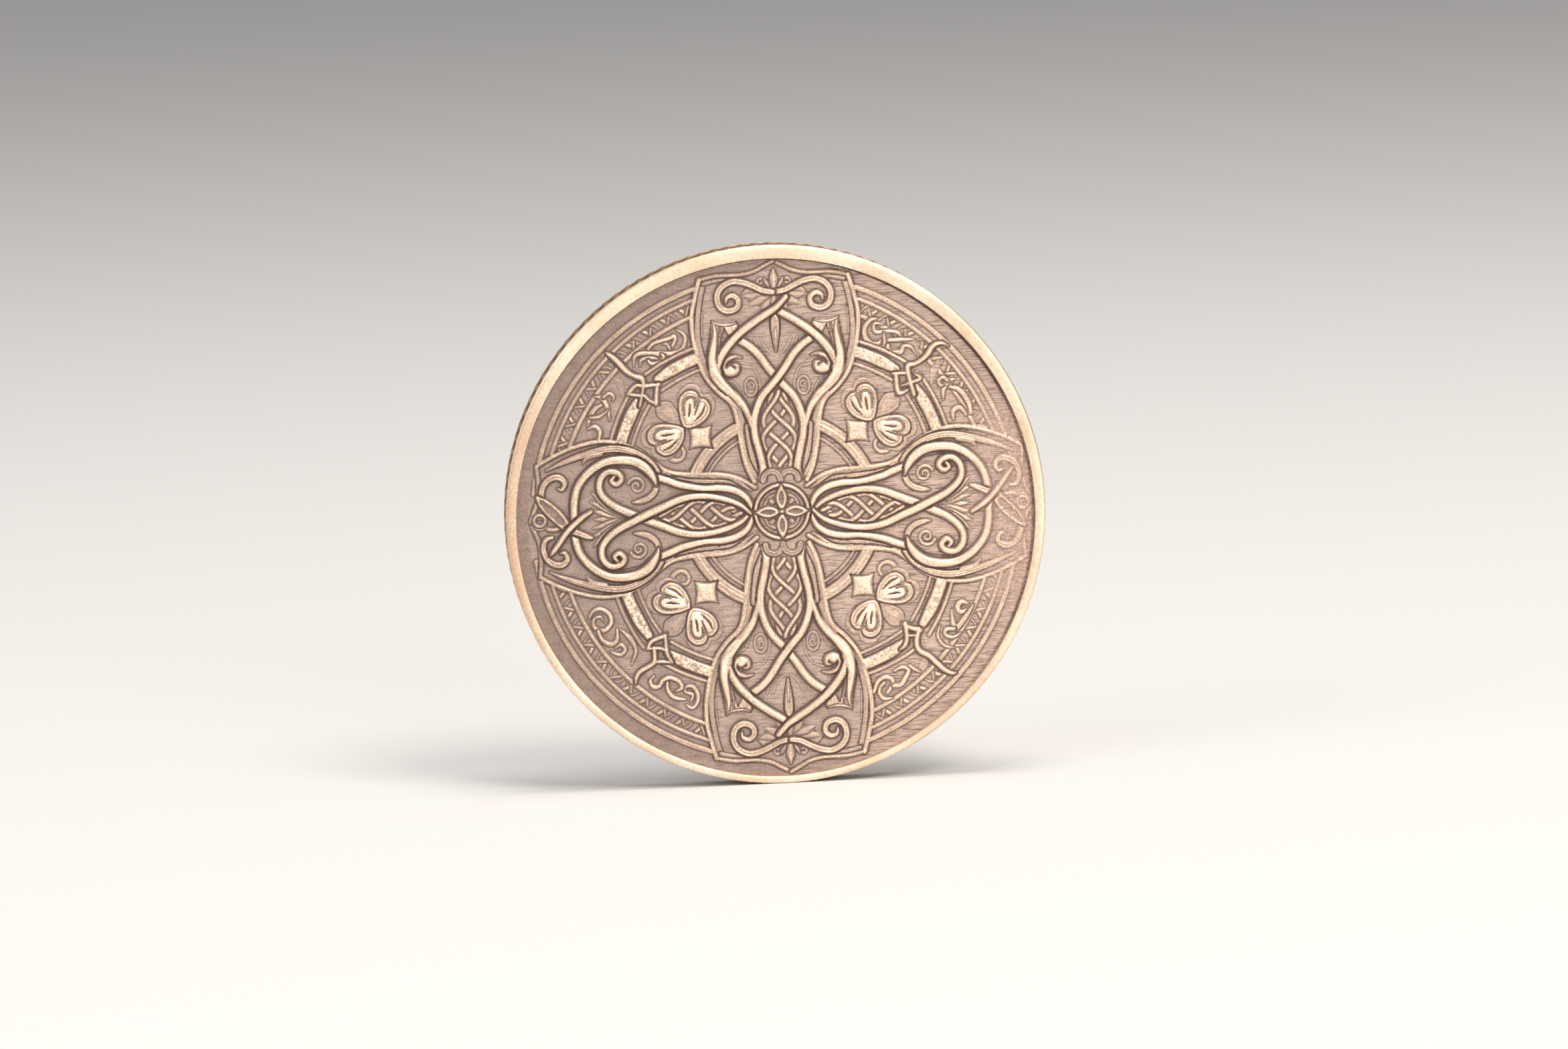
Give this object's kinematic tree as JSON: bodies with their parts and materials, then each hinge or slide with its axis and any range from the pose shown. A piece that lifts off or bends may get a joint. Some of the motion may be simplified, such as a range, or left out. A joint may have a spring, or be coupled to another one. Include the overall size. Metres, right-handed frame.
{
  "type": "challenge coin",
  "caption": "Round engraved coin with a raised rim, reeded edge, interlaced cross relief on the front and a plain knot on the back.",
  "frame": {"origin": "centre of the blank, midway between the two rim faces", "axes": "the coin stands upright: -Y out of the front face, +Y out of the back, +Z towards the top of the artwork, +X to the right of the artwork as seen from the front"},
  "size_m": [0.04, 0.003, 0.04],
  "materials": {
    "edge_brass": "satin, lightly worn",
    "rim_brass": "brushed, bright",
    "field_brass": "laser darkened, matte",
    "relief_brass": "satin tops, dark recesses"
  },
  "bodies": {
    "root": {"core_disc": "edge_brass", "reeded_edge": "edge_brass", "front_rim": "rim_brass", "back_rim": "rim_brass", "front_field": "field_brass", "back_field": "field_brass", "centre_boss": "relief_brass", "top_arm_border": "relief_brass", "top_arm_scrolls": "relief_brass", "top_arm_plait": "relief_brass", "bottom_arm_border": "relief_brass", "bottom_arm_scrolls": "relief_brass", "bottom_arm_plait": "relief_brass", "left_arm_border": "relief_brass", "left_arm_scrolls": "relief_brass", "left_arm_plait": "relief_brass", "right_arm_border": "relief_brass", "right_arm_scrolls": "relief_brass", "right_arm_plait": "relief_brass", "inner_ring_upper_right": "relief_brass", "inner_ring_upper_left": "relief_brass", "inner_ring_lower_left": "relief_brass", "inner_ring_lower_right": "relief_brass", "outer_ring_upper_right": "relief_brass", "outer_ring_upper_left": "relief_brass", "outer_ring_lower_left": "relief_brass", "outer_ring_lower_right": "relief_brass", "clasp_upper_right": "relief_brass", "clasp_upper_left": "relief_brass", "clasp_lower_left": "relief_brass", "clasp_lower_right": "relief_brass", "shamrock_upper_right": "relief_brass", "shamrock_upper_left": "relief_brass", "shamrock_lower_left": "relief_brass", "shamrock_lower_right": "relief_brass", "knots_upper_right": "relief_brass", "knots_upper_left": "relief_brass", "knots_lower_left": "relief_brass", "knots_lower_right": "relief_brass", "frieze_upper_right": "relief_brass", "frieze_upper_left": "relief_brass", "frieze_lower_left": "relief_brass", "frieze_lower_right": "relief_brass", "reverse_rope": "relief_brass", "reverse_lines": "relief_brass", "reverse_knot": "relief_brass"}
  },
  "joints": []
}
